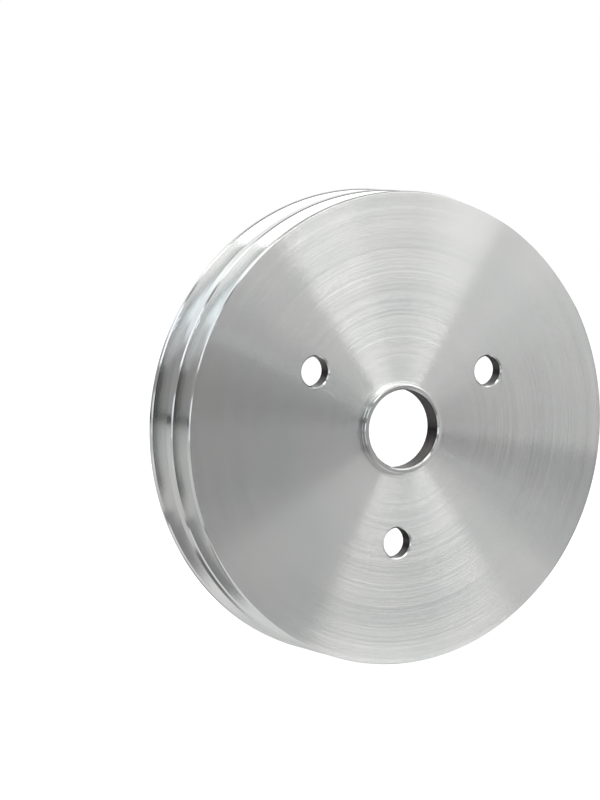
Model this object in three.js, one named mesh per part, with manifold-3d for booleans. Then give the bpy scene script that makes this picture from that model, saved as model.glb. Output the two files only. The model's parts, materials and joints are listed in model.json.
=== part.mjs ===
// Two-groove V-belt pulley for the front of an engine's crankshaft, turned from one aluminium blank.
// Millimetres, +Z up. The pulley's axis is Y and its front face looks towards -Y.
// The origin is on the axis, in the plane where the back of the web sits on the vibration damper.
// One bolt hole is straight below the axis and the other two are above it.

import * as THREE from "three";
import { mergeVertices } from "three/addons/utils/BufferGeometryUtils.js";
import Module from "manifold-3d";

// ---------------------------------------------------------------- driving dimensions

const RIM_DIAMETER = 168; // over the three ridges
const RIM_WIDTH = 31.1; // front face to rear edge
const EDGE_BREAK = 0.45; // 45 degree chamfer on every ridge corner

const GROOVE_COUNT = 2;
const GROOVE_WIDTH = 11.4; // between the walls, just under the edge breaks
const GROOVE_DEPTH = 11;
const GROOVE_ANGLE = 36; // degrees, wall to wall
const END_RIDGE_WIDTH = 2; // the ridges at the front and the rear

const WEB_THICKNESS = 5.6; // the flat disc that carries the bolt holes
const HOLLOW_DIAMETER = 134; // the open back of the rim
const HOLLOW_FILLET = 3; // where the web meets the rim
const HOLLOW_LIP_BREAK = 0.8; // chamfer at the mouth of the hollow

const BORE_DIAMETER = 28;
const COLLAR_DIAMETER = 31.6; // thin raised ring round the bore
const COLLAR_HEIGHT = 2.2;
const COLLAR_OUTER_BREAK = 0.3;
const BORE_FRONT_BREAK = 0.5;
const BORE_BACK_BREAK = 0.25;

const BOLT_CIRCLE_DIAMETER = 81.3;
const BOLT_HOLE_COUNT = 3;
const BOLT_HOLE_DIAMETER = 10.7;
const BOLT_HOLE_FRONT_BREAK = 0.5;
const BOLT_HOLE_BACK_BREAK = 0.25;
const FIRST_HOLE_ANGLE = -90; // degrees from +X towards +Z, so straight down

const RIM_SEGMENTS = 96;
const HOLE_SEGMENTS = 32;
const FILLET_STEPS = 4;
const CUT_OVERRUN = 1; // how far a hole cutter runs past each face

// ---------------------------------------------------------------- worked-out sizes

const rimRadius = RIM_DIAMETER / 2;
const boreRadius = BORE_DIAMETER / 2;
const collarRadius = COLLAR_DIAMETER / 2;
const hollowRadius = HOLLOW_DIAMETER / 2;

const backFace = 0;
const frontFace = backFace - WEB_THICKNESS;
const collarFace = frontFace - COLLAR_HEIGHT;
const rearEdge = frontFace + RIM_WIDTH;

const wallTop = rimRadius - EDGE_BREAK;
const grooveRoot = rimRadius - GROOVE_DEPTH;
const wallRun = (wallTop - grooveRoot) * Math.tan(THREE.MathUtils.degToRad(GROOVE_ANGLE / 2));
const innerRidgeWidth = (RIM_WIDTH - 2 * END_RIDGE_WIDTH - GROOVE_COUNT * GROOVE_WIDTH) / (GROOVE_COUNT - 1);
const groovePitch = GROOVE_WIDTH + innerRidgeWidth;

// ---------------------------------------------------------------- outline

// A point of the outline: distance from the axis, then place along it.
function at(radius, along) {
  return new THREE.Vector2(radius, along);
}

// The outside of the rim from front to rear: a land with two broken corners, then a groove, and so on.
function rimOutline() {
  const points = [at(wallTop, frontFace), at(rimRadius, frontFace + EDGE_BREAK)];
  for (let i = 0; i < GROOVE_COUNT; i += 1) {
    const start = frontFace + END_RIDGE_WIDTH + i * groovePitch;
    const end = start + GROOVE_WIDTH;
    points.push(at(rimRadius, start - EDGE_BREAK));
    points.push(at(wallTop, start));
    points.push(at(grooveRoot, start + wallRun));
    points.push(at(grooveRoot, end - wallRun));
    points.push(at(wallTop, end));
    points.push(at(rimRadius, end + EDGE_BREAK));
  }
  points.push(at(rimRadius, rearEdge - EDGE_BREAK), at(wallTop, rearEdge));
  return points;
}

// The open back: over the lip, forward along the inside of the rim, round the fillet onto the web.
function hollowOutline() {
  const points = [at(hollowRadius + HOLLOW_LIP_BREAK, rearEdge), at(hollowRadius, rearEdge - HOLLOW_LIP_BREAK)];
  for (let i = 0; i <= FILLET_STEPS; i += 1) {
    const turn = (i / FILLET_STEPS) * (Math.PI / 2);
    const radius = hollowRadius - HOLLOW_FILLET + HOLLOW_FILLET * Math.cos(turn);
    points.push(at(radius, backFace + HOLLOW_FILLET - HOLLOW_FILLET * Math.sin(turn)));
  }
  return points;
}

// The bore from back to front, with the raised collar round its mouth.
function boreOutline() {
  return [
    at(boreRadius + BORE_BACK_BREAK, backFace),
    at(boreRadius, backFace - BORE_BACK_BREAK),
    at(boreRadius, collarFace + BORE_FRONT_BREAK),
    at(boreRadius + BORE_FRONT_BREAK, collarFace),
    at(collarRadius - COLLAR_OUTER_BREAK, collarFace),
    at(collarRadius, collarFace + COLLAR_OUTER_BREAK),
    at(collarRadius, frontFace),
  ];
}

// A bolt hole's cutter: a pin on the Y axis that flares at both faces of the web.
function holeCutterOutline() {
  const radius = BOLT_HOLE_DIAMETER / 2;
  const front = frontFace - CUT_OVERRUN;
  const back = backFace + CUT_OVERRUN;
  return [
    at(0, front),
    at(radius + BOLT_HOLE_FRONT_BREAK + CUT_OVERRUN, front),
    at(radius, frontFace + BOLT_HOLE_FRONT_BREAK),
    at(radius, backFace - BOLT_HOLE_BACK_BREAK),
    at(radius + BOLT_HOLE_BACK_BREAK + CUT_OVERRUN, back),
    at(0, back),
  ];
}

// ---------------------------------------------------------------- solids

const wasm = await Module();
wasm.setup();

// Turns an outline round the Y axis and hands it over as a closed solid.
function turned(outline, segments) {
  const geometry = new THREE.LatheGeometry(outline, segments);
  geometry.deleteAttribute("normal");
  geometry.deleteAttribute("uv");
  const merged = mergeVertices(geometry, 1e-4);
  const mesh = new wasm.Mesh({
    numProp: 3,
    vertProperties: new Float32Array(merged.attributes.position.array),
    triVerts: new Uint32Array(merged.index.array),
  });
  mesh.merge();
  return new wasm.Manifold(mesh);
}

function toGeometry(solid) {
  const { vertProperties, triVerts } = solid.getMesh();
  const geometry = new THREE.BufferGeometry();
  geometry.setAttribute("position", new THREE.BufferAttribute(new Float32Array(vertProperties), 3));
  geometry.setIndex(new THREE.BufferAttribute(new Uint32Array(triVerts), 1));
  geometry.computeVertexNormals();
  return geometry;
}

function pulleySolid() {
  const closedOutline = [...boreOutline(), ...rimOutline(), ...hollowOutline()];
  closedOutline.push(closedOutline[0].clone());
  let solid = turned(closedOutline, RIM_SEGMENTS);
  const cutter = turned(holeCutterOutline(), HOLE_SEGMENTS);
  for (let i = 0; i < BOLT_HOLE_COUNT; i += 1) {
    const angle = THREE.MathUtils.degToRad(FIRST_HOLE_ANGLE + (i * 360) / BOLT_HOLE_COUNT);
    const reach = BOLT_CIRCLE_DIAMETER / 2;
    solid = solid.subtract(cutter.translate([reach * Math.cos(angle), 0, reach * Math.sin(angle)]));
  }
  return solid;
}

// ---------------------------------------------------------------- assembly

const turnedAluminium = new THREE.MeshStandardMaterial({ color: 0xc9cac8, roughness: 0.32, metalness: 1 });

const pulley = new THREE.Mesh(toGeometry(pulleySolid()), turnedAluminium);
pulley.name = "pulley";

const assembly = new THREE.Group();
assembly.add(pulley);

export default assembly;
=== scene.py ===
# %% [markdown]
# # A two-groove crankshaft pulley, turned from aluminium
#
# The real object is one piece of metal. A lathe faced the flat front, cut two V grooves into the rim,
# hollowed the back and left a thin collar standing round the bore. A drill then made three holes for the
# bolts. Everything a lathe makes is a surface of revolution, so most of this lesson is one outline
# carried round an axis. The finish matters as much as the shape: the tool leaves fine rings in the metal,
# and those rings stretch every reflection across them. That is what gives turned metal its fan-shaped
# highlights.

# %% Load the frame
import json
import math

import bmesh
import bpy
import numpy as np
from mathutils import Matrix, Vector


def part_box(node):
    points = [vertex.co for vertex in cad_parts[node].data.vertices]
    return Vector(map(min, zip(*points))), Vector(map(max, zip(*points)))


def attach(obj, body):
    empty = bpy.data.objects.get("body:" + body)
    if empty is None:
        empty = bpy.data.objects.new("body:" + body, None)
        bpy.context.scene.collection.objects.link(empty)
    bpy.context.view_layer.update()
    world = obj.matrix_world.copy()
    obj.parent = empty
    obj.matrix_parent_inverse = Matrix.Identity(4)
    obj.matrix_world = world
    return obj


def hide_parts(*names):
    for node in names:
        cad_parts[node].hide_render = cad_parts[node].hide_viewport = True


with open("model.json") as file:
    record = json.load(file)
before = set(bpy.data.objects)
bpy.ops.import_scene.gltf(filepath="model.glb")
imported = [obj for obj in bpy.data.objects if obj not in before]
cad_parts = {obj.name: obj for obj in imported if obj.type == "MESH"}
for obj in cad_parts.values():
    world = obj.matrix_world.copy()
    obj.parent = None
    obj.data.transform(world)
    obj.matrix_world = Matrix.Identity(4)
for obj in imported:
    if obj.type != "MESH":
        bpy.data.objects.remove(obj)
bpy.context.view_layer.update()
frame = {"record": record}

MM = 0.001
scene = bpy.context.scene

# %% [markdown]
# ## Sizes
#
# The frame gives the outer sizes: the node's box holds the rim's radius, the collar's front and the rim's
# rear edge, and the record's mounts give the two faces of the web. The rest are the pulley's own driving
# dimensions. All of them are in metres, because that is the unit of the frame.

# %% Sizes from the frame and the pulley's own dimensions
low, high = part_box("pulley")
mounts = {mount["name"]: mount for mount in frame["record"]["mounts"]}

RIM_RADIUS = high.x
COLLAR_FACE = low.y
REAR_EDGE = high.y
BACK_FACE = mounts["web_back_face"]["pos_m"][1]
FRONT_FACE = mounts["web_front_face"]["pos_m"][1]

EDGE_BREAK = 0.45 * MM
GROOVE_COUNT = 2
GROOVE_WIDTH = 11.4 * MM
GROOVE_DEPTH = 11 * MM
GROOVE_ANGLE = math.radians(36)
END_RIDGE_WIDTH = 2 * MM
HOLLOW_RADIUS = 67 * MM
HOLLOW_FILLET = 3 * MM
HOLLOW_LIP_BREAK = 0.8 * MM
BORE_RADIUS = 14 * MM
COLLAR_RADIUS = 15.8 * MM
COLLAR_OUTER_BREAK = 0.3 * MM
COLLAR_FOOT = 0.2 * MM
BORE_FRONT_BREAK = 0.5 * MM
BACK_BREAK = 0.25 * MM
BOLT_CIRCLE_RADIUS = 40.65 * MM
HOLE_ANGLES = np.radians([-90, 30, 150])
HOLE_RADIUS = 5.35 * MM
HOLE_FRONT_BREAK = 0.5 * MM
print(f"rim {2 * RIM_RADIUS / MM:.1f} mm across, web from {FRONT_FACE / MM:.1f} to {BACK_FACE / MM:.1f} mm")

# %% [markdown]
# ## An outline with softened corners
#
# No corner of a machined part is perfectly sharp, and it is the tiny rounding that catches the light as a
# bright line. So an outline is a short list of corners, each with its own rounding radius, and one
# function replaces every corner by an arc. Two more points hold the flats on either side of the arc, so
# that smooth shading bends only the arc and leaves the flats flat.

# %% Round the corners of an outline
ARC_POINTS = 4
HOLD = 0.05 * MM
CRISP = 0.12 * MM
FINE = 0.06 * MM
ROOT = 0.8 * MM


def softened(corners):
    """Rounds the inner corners of an outline given as rows of (distance from axis, place along it, radius).

    At a corner the path turns by an angle t. An arc of radius q that touches both sides starts q tan(t/2)
    before the corner. Its centre is on the normal of the side it leaves, q away, and its points swing from
    that side's normal to the next one's in equal steps.
    """
    corners = np.asarray(corners, float)
    points = corners[:, :2]
    radii = corners[1:-1, 2:]
    along = np.diff(points, axis=0)
    along /= np.linalg.norm(along, axis=1, keepdims=True)
    into, out = along[:-1], along[1:]
    turn = np.arctan2(into[:, 0] * out[:, 1] - into[:, 1] * out[:, 0], (into * out).sum(axis=1))[:, None]
    side = np.sign(turn)
    normal = np.stack([-into[:, 1], into[:, 0]], axis=1) * side
    reach = radii * np.tan(np.abs(turn) / 2)
    start = points[1:-1] - into * reach
    centre = start + normal * radii
    swing = turn * np.linspace(0, 1, ARC_POINTS)
    cos, sin = np.cos(swing), np.sin(swing)
    arm = -normal[:, None, :]
    arm_x = arm[..., 0] * cos - arm[..., 1] * sin
    arm_y = arm[..., 0] * sin + arm[..., 1] * cos
    arc = centre[:, None, :] + radii[:, None, :] * np.stack([arm_x, arm_y], axis=2)
    before = (start - into * HOLD)[:, None, :]
    after = (points[1:-1] + out * (reach + HOLD))[:, None, :]
    middle = np.concatenate([before, arc, after], axis=1).reshape(-1, 2)
    return np.concatenate([points[:1], middle, points[-1:]])


print("a square corner becomes", len(softened([(0, 0, 0), (1, 0, 0.1), (1, 1, 0)])) - 2, "points")

# %% [markdown]
# ## The three outlines
#
# The rim's outline starts on the front face, crosses the ridges and grooves, turns over the rear edge and
# runs down the hollow back onto the web. The bore's outline starts on the back of the web and ends on the
# front face, over the collar. A bolt hole's outline is the same idea on its own small axis.

# %% Outlines of the rim, the bore and a bolt hole
FACE_MARGIN = 0.6 * MM

wall_top = RIM_RADIUS - EDGE_BREAK
groove_root = RIM_RADIUS - GROOVE_DEPTH
wall_run = (wall_top - groove_root) * math.tan(GROOVE_ANGLE / 2)
rim_width = REAR_EDGE - FRONT_FACE
inner_ridge = (rim_width - 2 * END_RIDGE_WIDTH - GROOVE_COUNT * GROOVE_WIDTH) / (GROOVE_COUNT - 1)
face_outer = wall_top - FACE_MARGIN
hollow_floor_radius = HOLLOW_RADIUS - HOLLOW_FILLET - FACE_MARGIN


def groove_corners(start):
    """A ridge's rear corner, the groove's two walls and flat root, and the next ridge's front corner."""
    end = start + GROOVE_WIDTH
    return [
        (RIM_RADIUS, start - EDGE_BREAK, CRISP),
        (wall_top, start, CRISP),
        (groove_root, start + wall_run, ROOT),
        (groove_root, end - wall_run, ROOT),
        (wall_top, end, CRISP),
        (RIM_RADIUS, end + EDGE_BREAK, CRISP),
    ]


rim_corners = [
    (face_outer, FRONT_FACE, 0),
    (wall_top, FRONT_FACE, CRISP),
    (RIM_RADIUS, FRONT_FACE + EDGE_BREAK, CRISP),
]
for i in range(GROOVE_COUNT):
    rim_corners += groove_corners(FRONT_FACE + END_RIDGE_WIDTH + i * (GROOVE_WIDTH + inner_ridge))
rim_corners += [
    (RIM_RADIUS, REAR_EDGE - EDGE_BREAK, CRISP),
    (wall_top, REAR_EDGE, CRISP),
    (HOLLOW_RADIUS + HOLLOW_LIP_BREAK, REAR_EDGE, CRISP),
    (HOLLOW_RADIUS, REAR_EDGE - HOLLOW_LIP_BREAK, CRISP),
    (HOLLOW_RADIUS, BACK_FACE, HOLLOW_FILLET),
    (hollow_floor_radius, BACK_FACE, 0),
]
bore_back_radius = BORE_RADIUS + BACK_BREAK + FACE_MARGIN
collar_foot_radius = COLLAR_RADIUS + FACE_MARGIN
bore_corners = [
    (bore_back_radius, BACK_FACE, 0),
    (BORE_RADIUS + BACK_BREAK, BACK_FACE, FINE),
    (BORE_RADIUS, BACK_FACE - BACK_BREAK, FINE),
    (BORE_RADIUS, COLLAR_FACE + BORE_FRONT_BREAK, FINE),
    (BORE_RADIUS + BORE_FRONT_BREAK, COLLAR_FACE, FINE),
    (COLLAR_RADIUS - COLLAR_OUTER_BREAK, COLLAR_FACE, FINE),
    (COLLAR_RADIUS, COLLAR_FACE + COLLAR_OUTER_BREAK, FINE),
    (COLLAR_RADIUS, FRONT_FACE, COLLAR_FOOT),
    (collar_foot_radius, FRONT_FACE, 0),
]
hole_front_radius = HOLE_RADIUS + HOLE_FRONT_BREAK + FACE_MARGIN
hole_back_radius = HOLE_RADIUS + BACK_BREAK + FACE_MARGIN
hole_corners = [
    (hole_back_radius, BACK_FACE, 0),
    (HOLE_RADIUS + BACK_BREAK, BACK_FACE, FINE),
    (HOLE_RADIUS, BACK_FACE - BACK_BREAK, FINE),
    (HOLE_RADIUS, FRONT_FACE + HOLE_FRONT_BREAK, FINE),
    (HOLE_RADIUS + HOLE_FRONT_BREAK, FRONT_FACE, FINE),
    (hole_front_radius, FRONT_FACE, 0),
]
rim_outline = softened(rim_corners)
bore_outline = softened(bore_corners)
hole_outline = softened(hole_corners)
print("outline points: rim", len(rim_outline), "bore", len(bore_outline), "hole", len(hole_outline))

# %% [markdown]
# ## Carrying an outline round an axis
#
# A surface is a grid of points: one direction follows the outline, the other goes round. Grids that meet
# share the same angles and radii, so their edges coincide and can be welded afterwards into one closed
# skin.

# %% Grids of points and their faces
STEPS_ROUND = 360
round_angles = np.arange(STEPS_ROUND) * (2 * np.pi / STEPS_ROUND)


def ring_points(radius, angle, along):
    """Points by distance and angle from the Y axis: x = r cos a, y = place along it, z = r sin a."""
    radius, angle, along = np.broadcast_arrays(radius, angle, along)
    return np.stack([radius * np.cos(angle), along, radius * np.sin(angle)], axis=-1)


def revolved(outline, angles):
    """A grid with one row for each outline point and one column for each angle round the Y axis."""
    return ring_points(outline[:, :1], angles[None, :], outline[:, 1:])


def grid_faces(rows, columns, closed):
    """Four corners for each cell of a grid: (i, j), (i, j+1), (i+1, j+1), (i+1, j), counted row by row."""
    i, j = np.meshgrid(np.arange(rows - 1), np.arange(columns if closed else columns - 1), indexing="ij")
    k = (j + 1) % columns
    corners = [i * columns + j, i * columns + k, (i + 1) * columns + k, (i + 1) * columns + j]
    return np.stack(corners, axis=-1).reshape(-1, 4)


rim_grid = revolved(rim_outline, round_angles)
bore_grid = revolved(bore_outline, round_angles)
print("rim grid", rim_grid.shape[:2], "bore grid", bore_grid.shape[:2])

# %% [markdown]
# ## A flat ring with three holes in it
#
# The two faces of the web are flat, but the bolt holes interrupt their rings. Each hole gets a patch: a
# piece of the ring whose border is two arcs and two straight sides. Points slide in equal steps from the
# hole's circle to that border, and the rest of the face is plain rings and sectors. This keeps every edge
# shared, with no cutting and no leftover slivers.

# %% The patch round a hole, and the whole holed face
PATCH_HALF_STEPS = 15
PATCH_HALF_DEPTH = 10 * MM
PATCH_SIDE_STEPS = 20
PATCH_RINGS = 6
FLAT_RINGS = 5
patch_inner = BOLT_CIRCLE_RADIUS - PATCH_HALF_DEPTH
patch_outer = BOLT_CIRCLE_RADIUS + PATCH_HALF_DEPTH
patch_half_angle = PATCH_HALF_STEPS * 2 * np.pi / STEPS_ROUND


def patch_border(centre_angle):
    """The patch's border as (radius, angle): inner arc, far side, outer arc and near side, in that order."""
    turn = np.linspace(-patch_half_angle, patch_half_angle, 2 * PATCH_HALF_STEPS + 1)
    depth = np.linspace(patch_inner, patch_outer, PATCH_SIDE_STEPS + 1)
    radius = np.concatenate([
        np.full(turn.size - 1, patch_inner),
        depth[:-1],
        np.full(turn.size - 1, patch_outer),
        depth[:0:-1],
    ])
    angle = centre_angle + np.concatenate([
        turn[:-1],
        np.full(depth.size - 1, patch_half_angle),
        turn[:0:-1],
        np.full(depth.size - 1, -patch_half_angle),
    ])
    return radius, angle


def hole_directions(centre_angle):
    """For each border point, the direction from the hole's centre to it, measured from +X towards +Z."""
    radius, angle = patch_border(centre_angle)
    offset = ring_points(radius, angle, 0.0) - ring_points(BOLT_CIRCLE_RADIUS, centre_angle, 0.0)
    return np.arctan2(offset[:, 2], offset[:, 0])


def hole_patch(centre_angle, along, circle_radius):
    """Straight blends from the circle round the hole to the border: (1 - s) circle + s border."""
    radius, angle = patch_border(centre_angle)
    border = ring_points(radius, angle, along)
    centre = ring_points(BOLT_CIRCLE_RADIUS, centre_angle, along)
    direction = hole_directions(centre_angle)
    circle = centre + ring_points(circle_radius, direction, 0.0)
    share = np.linspace(0, 1, PATCH_RINGS + 1)[:, None, None]
    return (1 - share) * circle + share * border


def flat_outline(inner, outer, rings, along):
    """A straight outline across a flat face, from an inner to an outer radius in equal rings."""
    return np.stack([np.linspace(inner, outer, rings + 1), np.full(rings + 1, along)], axis=1)


def holed_face(inner, outer, along, circle_radius):
    """All grids of one flat face, as (points, closed round the axis or hole) pairs."""
    inside = flat_outline(inner, patch_inner, FLAT_RINGS, along)
    outside = flat_outline(patch_outer, outer, FLAT_RINGS, along)
    between = flat_outline(patch_inner, patch_outer, PATCH_SIDE_STEPS, along)
    grids = [(revolved(inside, round_angles), True), (revolved(outside, round_angles), True)]
    gap_steps = STEPS_ROUND // len(HOLE_ANGLES) - 2 * PATCH_HALF_STEPS
    gap = patch_half_angle + np.arange(gap_steps + 1) * (2 * np.pi / STEPS_ROUND)
    for centre_angle in HOLE_ANGLES:
        grids.append((revolved(between, centre_angle + gap), False))
        grids.append((hole_patch(centre_angle, along, circle_radius), True))
    return grids


def hole_wall(centre_angle):
    """A bolt hole's outline carried round its own axis, at the same directions as the patches round it."""
    centre = ring_points(BOLT_CIRCLE_RADIUS, centre_angle, 0.0)
    return centre + revolved(hole_outline, hole_directions(centre_angle))


front_grids = holed_face(collar_foot_radius, face_outer, FRONT_FACE, hole_front_radius)
back_grids = holed_face(bore_back_radius, hollow_floor_radius, BACK_FACE, hole_back_radius)
print("grids in each face of the web:", len(front_grids))

# %% [markdown]
# ## Welding the grids into one closed skin
#
# The grids are stacked into one list of points and one list of faces, the points that coincide are
# merged, and the normals are made to agree and face outwards. Printing the volume and looking for open
# edges is a cheap proof that the skin is closed: at 2.7 g per cubic centimetre it also gives the pulley's
# weight.

# %% Build the mesh
ALUMINIUM_DENSITY = 2700
WELD = 0.002 * MM


def welded_object(name, grids):
    """One mesh object from many grids, with coincident points merged and all normals outward."""
    starts = np.cumsum([0] + [points.shape[0] * points.shape[1] for points, _ in grids])
    vertices = np.concatenate([points.reshape(-1, 3) for points, _ in grids])
    faces = np.concatenate([
        grid_faces(points.shape[0], points.shape[1], closed) + start
        for (points, closed), start in zip(grids, starts)
    ])
    mesh = bpy.data.meshes.new(name)
    mesh.from_pydata(vertices, [], faces)
    work = bmesh.new()
    work.from_mesh(mesh)
    bmesh.ops.remove_doubles(work, verts=work.verts, dist=WELD)
    bmesh.ops.recalc_face_normals(work, faces=work.faces)
    open_edges = sum(1 for edge in work.edges if not edge.is_manifold)
    volume = work.calc_volume(signed=True)
    work.to_mesh(mesh)
    work.free()
    piece = bpy.data.objects.new(name, mesh)
    scene.collection.objects.link(piece)
    print(f"{name}: {len(mesh.polygons)} faces, {open_edges} open edges, {volume * 1e6:.1f} cm3")
    print(f"weight {volume * ALUMINIUM_DENSITY:.3f} kg")
    return piece


walls = [(hole_wall(angle), True) for angle in HOLE_ANGLES]
all_grids = [(rim_grid, True), (bore_grid, True), *front_grids, *back_grids, *walls]
pulley = welded_object("pulley_turned", all_grids)
pulley.data.shade_smooth()

# %% [markdown]
# ## Which finish goes where
#
# One piece of metal still carries several finishes, because each cut leaves its own marks. The face was
# cut last, with a fine feed. The groove walls are smoother, since a belt rubs on them, and so are the
# collar and the small chamfers at the bolt holes. The walls of the bore and the bolt holes are coloured
# near black: that is painted shade, for how dark the insides of the holes look, not a colour of the metal.
# The hollow back is a roughing cut. Each polygon finds its finish from where its middle lies, so no finish
# is placed by hand.

# %% Sort the polygons into finishes
FACE, RIM, BORE, BACK, HOLE = range(5)
FINISH_NAMES = ["turned_face", "turned_rim", "bored", "turned_back", "drilled"]


def polygon_middles(mesh):
    """The middle of every polygon, as an array of (x, y, z)."""
    middles = np.empty(len(mesh.polygons) * 3, np.float32)
    mesh.polygons.foreach_get("center", middles)
    return middles.reshape(-1, 3)


def finish_numbers(mesh):
    """A finish for each polygon: the first rule that holds for its middle, or else the rim's."""
    x, y, z = polygon_middles(mesh).T
    radius = np.hypot(x, z)
    holes = ring_points(BOLT_CIRCLE_RADIUS, HOLE_ANGLES, 0.0)
    from_hole = np.min(np.hypot(x[:, None] - holes[:, 0], z[:, None] - holes[:, 2]), axis=1)
    hair = 0.01 * MM
    in_hole = (from_hole < HOLE_RADIUS + HOLE_FRONT_BREAK + hair) & (y < BACK_FACE - hair)
    rules = [
        (in_hole & (y > FRONT_FACE + HOLE_FRONT_BREAK), HOLE),
        (in_hole & (y > FRONT_FACE + hair), RIM),
        (radius < BORE_RADIUS + hair, BORE),
        ((y <= FRONT_FACE) & (radius < COLLAR_RADIUS + COLLAR_FOOT / 2), RIM),
        ((y > FRONT_FACE + hair) & (radius < wall_top - GROOVE_DEPTH), BACK),
        ((y <= FRONT_FACE + hair) & (radius < wall_top + hair), FACE),
        (y > REAR_EDGE - hair, BACK),
    ]
    return np.select([where for where, _ in rules], [finish for _, finish in rules], default=RIM)


finishes = finish_numbers(pulley.data)
pulley.data.polygons.foreach_set("material_index", finishes.astype(np.int32))
print("polygons in each finish:", dict(zip(FINISH_NAMES, np.bincount(finishes, minlength=5).tolist())))

# %% [markdown]
# ## Two effects that every finish shares
#
# *Turning rings*: the tool leaves a spiral so fine that it looks like rings. Each ring tilts the metal a
# little towards or away from the axis, and never round it, and that is why turned metal fans its
# highlights out like the blades of a propeller. A bump map loses that direction when the rings are too
# fine to see, so the tilt is worked out exactly: a noise that depends only on the distance from the axis
# and the place along it says how far the surface leans across the cut. *Handling*: a slow, cloudy noise,
# for the faint unevenness that hands and oil leave on bare aluminium. Both are node groups, built once
# and placed in each material.

# %% Node groups for turning rings and handling marks
FEED_DETAIL = 1.0
BAND_DETAIL = 2.0
CLOUD_DETAIL = 4.0
CLOUD_LOW = 0.35
CLOUD_HIGH = 0.65


def new_group(name, inputs, outputs):
    """An empty shader node group with the named sockets; inputs are (name, socket type, default)."""
    group = bpy.data.node_groups.new(name, "ShaderNodeTree")
    for label, kind, default in inputs:
        socket = group.interface.new_socket(label, in_out="INPUT", socket_type=kind)
        if default is not None:
            socket.default_value = default
    for label, kind in outputs:
        group.interface.new_socket(label, in_out="OUTPUT", socket_type=kind)
    return group, group.nodes.new("NodeGroupInput"), group.nodes.new("NodeGroupOutput")


def fill(tree, node, values):
    """Gives each of a node's inputs a socket to follow or a plain value to keep."""
    for socket, value in zip(node.inputs, values):
        if isinstance(value, bpy.types.NodeSocket):
            tree.links.new(value, socket)
        elif value is not None:
            socket.default_value = value


def math_node(tree, operation, *values):
    """A Math node and its result."""
    node = tree.nodes.new("ShaderNodeMath")
    node.operation = operation
    fill(tree, node, values)
    return node.outputs[0]


def vector_node(tree, operation, *values):
    """A Vector Math node and its result. The length of a vector comes out of a socket of its own."""
    node = tree.nodes.new("ShaderNodeVectorMath")
    node.operation = operation
    fill(tree, node, values)
    return node.outputs["Value" if operation == "LENGTH" else "Vector"]


def noise_node(tree, place, detail, dimensions="3D"):
    """Fractal noise at a place whose unit is the size of the largest blobs."""
    node = tree.nodes.new("ShaderNodeTexNoise")
    node.noise_dimensions = dimensions
    node.inputs["Scale"].default_value = 1.0
    node.inputs["Detail"].default_value = detail
    tree.links.new(place, node.inputs["Vector"])
    return node.outputs["Fac"]


def turning_rings_group():
    """Rings about the Y axis.

    With r the distance from the axis and y the place along it, Normal is the surface's normal plus
    Tilt times (noise(r / Feed, y / Feed) - 1/2) times the direction across the cut. Mask is the noise of
    (r / Band, y / Band): broad bands where the tool cut a little brighter or duller.
    """
    inputs = [
        ("Place", "NodeSocketVector", None),
        ("Surface", "NodeSocketVector", None),
        ("Around", "NodeSocketVector", None),
        ("Feed", "NodeSocketFloat", 0.2 * MM),
        ("Tilt", "NodeSocketFloat", 1.0),
        ("Band", "NodeSocketFloat", 7 * MM),
    ]
    outputs = [("Normal", "NodeSocketVector"), ("Mask", "NodeSocketFloat")]
    group, given, result = new_group("Turning rings", inputs, outputs)
    split = group.nodes.new("ShaderNodeSeparateXYZ")
    group.links.new(given.outputs["Place"], split.inputs[0])
    sideways = vector_node(group, "MULTIPLY", given.outputs["Place"], (1, 0, 1))
    outline_place = group.nodes.new("ShaderNodeCombineXYZ")
    fill(group, outline_place, [vector_node(group, "LENGTH", sideways), split.outputs["Y"]])

    in_feeds = vector_node(group, "DIVIDE", outline_place.outputs[0], given.outputs["Feed"])
    in_bands = vector_node(group, "DIVIDE", outline_place.outputs[0], given.outputs["Band"])
    swing = math_node(group, "SUBTRACT", noise_node(group, in_feeds, FEED_DETAIL, "2D"), 0.5)
    lean = math_node(group, "MULTIPLY", swing, given.outputs["Tilt"])
    across = vector_node(group, "CROSS_PRODUCT", given.outputs["Surface"], given.outputs["Around"])
    leaning = group.nodes.new("ShaderNodeVectorMath")
    leaning.operation = "SCALE"
    group.links.new(across, leaning.inputs[0])
    group.links.new(lean, leaning.inputs["Scale"])
    tilted = vector_node(group, "ADD", given.outputs["Surface"], leaning.outputs[0])
    group.links.new(vector_node(group, "NORMALIZE", tilted), result.inputs["Normal"])
    group.links.new(noise_node(group, in_bands, BAND_DETAIL, "2D"), result.inputs["Mask"])
    return group


def handling_group():
    """Cloudy marks: a slow noise of the place, whose middle CLOUD_LOW to CLOUD_HIGH fills 0 to 1."""
    inputs = [("Place", "NodeSocketVector", None), ("Size", "NodeSocketFloat", 30 * MM)]
    group, given, result = new_group("Handling marks", inputs, [("Mask", "NodeSocketFloat")])
    steps = vector_node(group, "DIVIDE", given.outputs["Place"], given.outputs["Size"])
    stretch = group.nodes.new("ShaderNodeMapRange")
    stretch.inputs["From Min"].default_value = CLOUD_LOW
    stretch.inputs["From Max"].default_value = CLOUD_HIGH
    group.links.new(noise_node(group, steps, CLOUD_DETAIL), stretch.inputs["Value"])
    group.links.new(stretch.outputs[0], result.inputs["Mask"])
    return group


turning_rings = turning_rings_group()
handling = handling_group()
print("node groups:", [group.name for group in bpy.data.node_groups])

# %% [markdown]
# ## Turned aluminium
#
# The metal reflects almost equally at all colours. Between the rings' tilts there are still finer
# scratches along the cut, so the shader is anisotropic too: its Tangent is the direction round the axis,
# worked out from Object coordinates so that it stays right wherever the pulley is used, and a quarter
# turn of the highlight draws it out across the cut.

# %% The metal material
QUARTER_TURN = 0.25


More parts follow.
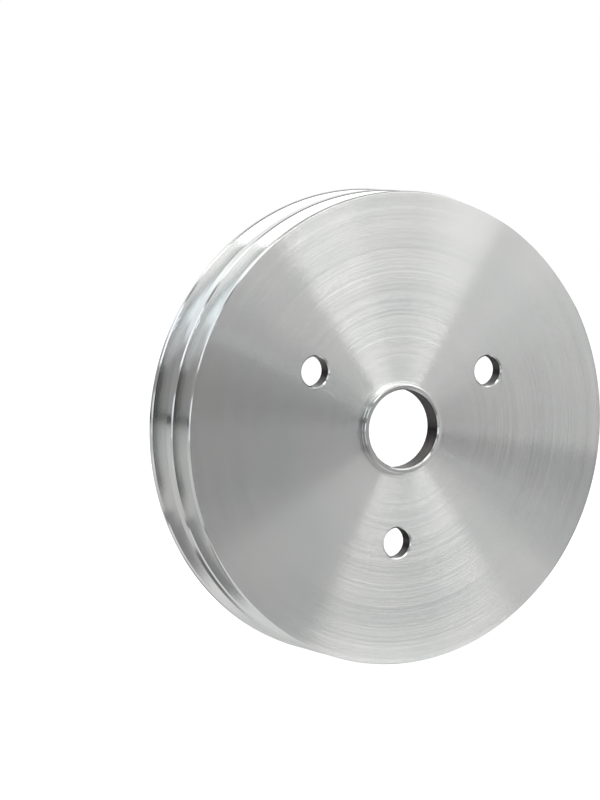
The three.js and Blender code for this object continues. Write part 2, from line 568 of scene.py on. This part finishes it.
def value_between(tree, mask, low_value, high_value):
    """A value that goes from low to high as a mask goes from 0 to 1."""
    node = tree.nodes.new("ShaderNodeMapRange")
    tree.links.new(mask, node.inputs["Value"])
    node.inputs["To Min"].default_value = low_value
    node.inputs["To Max"].default_value = high_value
    return node.outputs[0]


def turned_metal(name, colours, roughness, anisotropy, feed, tilt):
    """Aluminium turned about the Y axis.

    colours and roughness are (low, high) pairs that the masks choose between. anisotropy stretches the
    highlight across the cut, feed is the spacing of the tool's rings in metres, and tilt is how far they
    lean.
    """
    material = bpy.data.materials.new(name)
    material.use_nodes = True
    tree = material.node_tree
    shader = tree.nodes["Principled BSDF"]
    shader.inputs["Metallic"].default_value = 1.0
    shader.inputs["Anisotropic"].default_value = anisotropy
    shader.inputs["Anisotropic Rotation"].default_value = QUARTER_TURN
    place = tree.nodes.new("ShaderNodeTexCoord").outputs["Object"]
    to_world = tree.nodes.new("ShaderNodeVectorTransform")
    to_world.vector_type = "VECTOR"
    to_world.convert_from = "OBJECT"
    to_world.convert_to = "WORLD"
    tree.links.new(vector_node(tree, "CROSS_PRODUCT", (0.0, 1.0, 0.0), place), to_world.inputs[0])
    around = vector_node(tree, "NORMALIZE", to_world.outputs[0])
    tree.links.new(around, shader.inputs["Tangent"])

    rings = tree.nodes.new("ShaderNodeGroup")
    rings.node_tree = turning_rings
    surface = tree.nodes.new("ShaderNodeNewGeometry").outputs["Normal"]
    fill(tree, rings, [place, surface, around, feed, tilt])
    marks = tree.nodes.new("ShaderNodeGroup")
    marks.node_tree = handling
    fill(tree, marks, [place])
    tree.links.new(rings.outputs["Normal"], shader.inputs["Normal"])

    tint = tree.nodes.new("ShaderNodeMix")
    tint.data_type = "RGBA"
    tint.inputs["A"].default_value = (*colours[0], 1.0)
    tint.inputs["B"].default_value = (*colours[1], 1.0)
    masks = math_node(tree, "ADD", rings.outputs["Mask"], marks.outputs["Mask"])
    both = math_node(tree, "MULTIPLY", masks, 0.5)
    tree.links.new(both, tint.inputs["Factor"])
    tree.links.new(tint.outputs["Result"], shader.inputs["Base Color"])
    tree.links.new(value_between(tree, both, *roughness), shader.inputs["Roughness"])
    return material


PALE = (0.82, 0.85, 0.835)
BRIGHT = (0.905, 0.895, 0.885)
# Painted shade: these two near-black colours make the insides of the bore and the bolt holes look shaded;
# the metal there is no darker than elsewhere.
PAINTED_SHADE_DEEP = (0.035, 0.030, 0.029)
PAINTED_SHADE_LIGHT = (0.09, 0.08, 0.076)
metal_by_finish = [
    turned_metal("turned_face", (PALE, BRIGHT), (0.21, 0.23), 1.0, 0.04 * MM, 1.7),
    turned_metal("turned_rim", (PALE, BRIGHT), (0.12, 0.16), 0.8, 0.03 * MM, 0.35),
    # The bore and the bolt holes take the painted shade colours, not a colour of the metal.
    turned_metal("bored", (PAINTED_SHADE_DEEP, PAINTED_SHADE_LIGHT), (0.20, 0.26), 0.7, 0.06 * MM, 1.0),
    turned_metal("turned_back", (PALE, BRIGHT), (0.28, 0.36), 0.9, 0.10 * MM, 1.7),
    turned_metal("drilled", (PAINTED_SHADE_DEEP, PAINTED_SHADE_LIGHT), (0.22, 0.30), 0.0, 0.15 * MM, 0.0),
]
for material in metal_by_finish:
    pulley.data.materials.append(material)
print("materials:", [material.name for material in pulley.data.materials])

# %% Tie the piece to the frame
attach(pulley, "root")
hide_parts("pulley")

# %% [markdown]
# ## The camera
#
# A long lens from well back keeps the circles nearly true ellipses. The pulley is seen from its left and
# a little from above, and the camera is tilted by a degree or two. It aims beside the pulley, not at it,
# which puts the object to the right of the middle with no lens shift.

# %% Place the camera
CAMERA_AZIMUTH = math.radians(-28.66)
CAMERA_ELEVATION = math.radians(3.99)
CAMERA_ROLL = math.radians(1.65)
CAMERA_DISTANCE = 1336.5 * MM
PULLEY_RIGHT_OF_AIM = 35.70 * MM
PULLEY_BELOW_AIM = 10.12 * MM
LENS = 170.03
CLIP_END = 20


def camera_axes(azimuth, elevation, roll):
    """The camera's right, up and backward directions. Azimuth 0 looks along +Y, roll is about the view."""
    right = Vector((math.cos(azimuth), math.sin(azimuth), 0))
    back = Vector((
        math.sin(azimuth) * math.cos(elevation),
        -math.cos(azimuth) * math.cos(elevation),
        math.sin(elevation),
    ))
    up = back.cross(right)
    rolled_right = right * math.cos(roll) + up * math.sin(roll)
    rolled_up = up * math.cos(roll) - right * math.sin(roll)
    return rolled_right, rolled_up, back


right, up, back = camera_axes(CAMERA_AZIMUTH, CAMERA_ELEVATION, CAMERA_ROLL)
face_centre = Vector((0, FRONT_FACE, 0))
eye = face_centre - right * PULLEY_RIGHT_OF_AIM + up * PULLEY_BELOW_AIM + back * CAMERA_DISTANCE
camera_data = bpy.data.cameras.new("camera")
camera_data.lens = LENS
camera_data.clip_end = CLIP_END
camera = bpy.data.objects.new("camera", camera_data)
camera.matrix_world = Matrix((
    (*[axis.x for axis in (right, up, back)], eye.x),
    (*[axis.y for axis in (right, up, back)], eye.y),
    (*[axis.z for axis in (right, up, back)], eye.z),
    (0, 0, 0, 1),
))
scene.collection.objects.link(camera)
scene.camera = camera
print("camera at", [round(v, 3) for v in eye])

# %% [markdown]
# ## The floor and the room
#
# Bare metal has no colour of its own: what it shows is the room around it. The room here is dim, and only
# the camera sees it as white paper. The world gives one strength to rays from the camera and another to
# every other ray, and the floor does the same, so the floor joins the white behind it without a horizon.

# %% Floor and world
FLOOR_SIZE = 6.0
FLOOR_SHADE = 0.25
MATT = 0.9
WHITE = (1.0, 1.0, 1.0)
WHITE_TO_CAMERA = 1.0
ROOM_LIGHT = 0.30


def one_face(name, corners, material):
    """A flat four-cornered object in one material."""
    mesh = bpy.data.meshes.new(name)
    mesh.from_pydata(corners, [], [(0, 1, 2, 3)])
    mesh.materials.append(material)
    sheet = bpy.data.objects.new(name, mesh)
    scene.collection.objects.link(sheet)
    return sheet


def matt_material(name, shade):
    """A matt grey material."""
    material = bpy.data.materials.new(name)
    material.use_nodes = True
    shader = material.node_tree.nodes["Principled BSDF"]
    shader.inputs["Base Color"].default_value = (shade, shade, shade, 1)
    shader.inputs["Roughness"].default_value = MATT
    return material


def seen_by_camera(tree, elsewhere, in_camera):
    """A strength with one value for rays from the camera and another for all the rest."""
    is_camera = tree.nodes.new("ShaderNodeLightPath").outputs["Is Camera Ray"]
    return value_between(tree, is_camera, elsewhere, in_camera)


paper = matt_material("floor_paper", FLOOR_SHADE)
paper_shader = paper.node_tree.nodes["Principled BSDF"]
paper_shader.inputs["Specular IOR Level"].default_value = 0.0
paper_shader.inputs["Emission Color"].default_value = (*WHITE, 1)
paper_glow = seen_by_camera(paper.node_tree, 0.0, WHITE_TO_CAMERA)
paper.node_tree.links.new(paper_glow, paper_shader.inputs["Emission Strength"])
half = FLOOR_SIZE / 2
floor_corners = [(-half, -half, low.z), (half, -half, low.z), (half, half, low.z), (-half, half, low.z)]
floor = one_face("floor", floor_corners, paper)

world = bpy.data.worlds.new("studio")
world.use_nodes = True
background = world.node_tree.nodes["Background"]
background.inputs["Color"].default_value = (*WHITE, 1)
room_glow = seen_by_camera(world.node_tree, ROOM_LIGHT, WHITE_TO_CAMERA)
world.node_tree.links.new(room_glow, background.inputs["Strength"])
scene.world = world
scene.view_settings.view_transform = "Standard"
print("floor at", round(low.z / MM, 1), "mm")

# %% [markdown]
# ## Softboxes
#
# Each ring of the face acts as a tiny mirror bent round the axis, so a point of the face sees a fan of
# the room: across the cut, and only across it. At the top and bottom the fan is upright and finds the two
# long softboxes overhead, whose straight edges become the edges of the bright fan. At the left and right
# it lies flat and finds the small panels beside the pulley, or the dim room. The other lights are for the
# grooves and chamfers, which look ahead, up to the left and behind, and the glowing cards stand in for a
# bright floor. A light is given here by how bright it looks, its radiance, and its power follows from
# that and its area.

# %% Lights
COOL = (0.88, 0.94, 1.0)
HAIR = 0.1 * MM
OVERHEAD_HEADING = 26
OVERHEAD_AHEAD = 2.1
OVERHEAD_HEIGHT = 0.9
OVERHEAD_LENGTH = 3.6


def from_pulley(azimuth, elevation, distance):
    """A point seen from the pulley, in degrees: azimuth from straight ahead towards +X, and elevation."""
    azimuth, elevation = math.radians(azimuth), math.radians(elevation)
    ahead = distance * math.cos(elevation)
    return Vector((ahead * math.sin(azimuth), -ahead * math.cos(azimuth), distance * math.sin(elevation)))


def softbox(name, place, target, width, height, radiance, colour):
    """A rectangular area light that faces a point. Its power is radiance x pi x area."""
    data = bpy.data.lights.new(name, "AREA")
    data.shape = "RECTANGLE"
    data.size = width
    data.size_y = height
    data.energy = radiance * math.pi * width * height
    data.color = colour
    light = bpy.data.objects.new(name, data)
    light.location = place
    light.rotation_euler = (Vector(target) - Vector(place)).to_track_quat("-Z", "Y").to_euler()
    light.visible_camera = False
    scene.collection.objects.link(light)


def glowing_card(name, azimuth, near, far, width, radiance):
    """A strip of lit paper on the floor, from near to far along an azimuth."""
    place = from_pulley(azimuth, 0, (near + far) / 2) + Vector((0, 0, low.z + HAIR))
    up = Vector((0, 0, 1)) + from_pulley(azimuth, 0, MM)
    softbox(name, place, place + up, width, far - near, radiance, WHITE)


heading = from_pulley(OVERHEAD_HEADING, 0, 1)
beside = from_pulley(OVERHEAD_HEADING + 90, 0, 1)
for name, sideways, width, radiance in [
    ("overhead_left", -0.32, 0.55, 1.75),
    ("overhead_right", 0.46, 1.0, 1.37),
]:
    overhead = heading * OVERHEAD_AHEAD + beside * sideways + Vector((0, 0, OVERHEAD_HEIGHT))
    below = overhead - heading * MM - Vector((0, 0, 1))
    softbox(name, overhead, below, width, OVERHEAD_LENGTH, radiance, WHITE)

for name, azimuth, elevation, distance, width, height, radiance, colour in [
    ("side_panel", 40, 4, 0.3, 0.08, 0.20, 0.46, WHITE),
    ("side_low", 60, 12, 0.24, 0.10, 0.16, 0.40, WHITE),
    ("ahead_right", 14, 13, 1.0, 0.20, 0.28, 0.32, WHITE),
    ("right_high", 78, 32, 0.9, 0.5, 0.4, 0.70, WHITE),
    ("ahead_high", 0, 23, 0.95, 0.26, 0.36, 0.75, WHITE),
    ("lamp", -4, 11, 1.2, 0.05, 0.05, 7, COOL),
    ("left_low", -61, 0, 0.5, 0.2, 0.12, 0.8, COOL),
    ("left", -75, 28, 1.0, 0.45, 0.4, 1.3, COOL),
    ("left_above", -47, 55, 1.0, 0.4, 0.3, 1.3, WHITE),
    ("left_high", -120, 45, 1.0, 0.7, 0.5, 0.8, COOL),
    ("behind_left", -150, 28, 1.0, 0.5, 0.4, 0.6, COOL),
    ("behind", 172, 20, 1.0, 0.8, 0.6, 0.7, WHITE),
    ("behind_right", 120, 30, 1.0, 0.6, 0.6, 1.5, WHITE),
]:
    softbox(name, from_pulley(azimuth, elevation, distance), (0, 0, 0), width, height, radiance, colour)

for name, azimuth, near, far, width, radiance in [
    ("card_ahead", 28, 0.09, 0.6, 0.2, 0.24),
    ("card_behind", -140, 0.12, 2.5, 0.6, 0.35),
    ("card_left", -68, 0.14, 1.2, 0.22, 0.33),
    ("card_under", 0, -0.05, 0.03, 0.26, 0.5),
]:
    glowing_card(name, azimuth, near, far, width, radiance)

# %% [markdown]
# ## Two black cards
#
# White light alone makes metal look like plaster, so black cards go where the metal should turn dark. One
# stands right at the camera and one lies on the floor before the pulley, and the grooves mirror both.
# Neither the camera nor the floor notices them: only mirror rays do.

# %% Black cards
CLOTH_SHADE = 0.02
STANDING_DISTANCE = 1.5
STANDING_LEFT = -50
STANDING_RIGHT = 8
STANDING_TOP = 0.17
LYING_OUTLINE = [(-0.30, -1.4), (0.08, -1.4), (0.04, -0.20), (-0.14, -0.20)]

cloth = matt_material("black_cloth", CLOTH_SHADE)
left_end = from_pulley(STANDING_LEFT, 0, STANDING_DISTANCE)
right_end = from_pulley(STANDING_RIGHT, 0, STANDING_DISTANCE)
standing_corners = [
    (left_end.x, left_end.y, low.z),
    (right_end.x, right_end.y, low.z),
    (right_end.x, right_end.y, STANDING_TOP),
    (left_end.x, left_end.y, STANDING_TOP),
]
lying_corners = [(x, y, low.z + HAIR) for x, y in LYING_OUTLINE]
for name, corners in [("standing_card", standing_corners), ("lying_card", lying_corners)]:
    card = one_face(name, corners, cloth)
    card.visible_camera = False
    card.visible_diffuse = False
    card.visible_shadow = False
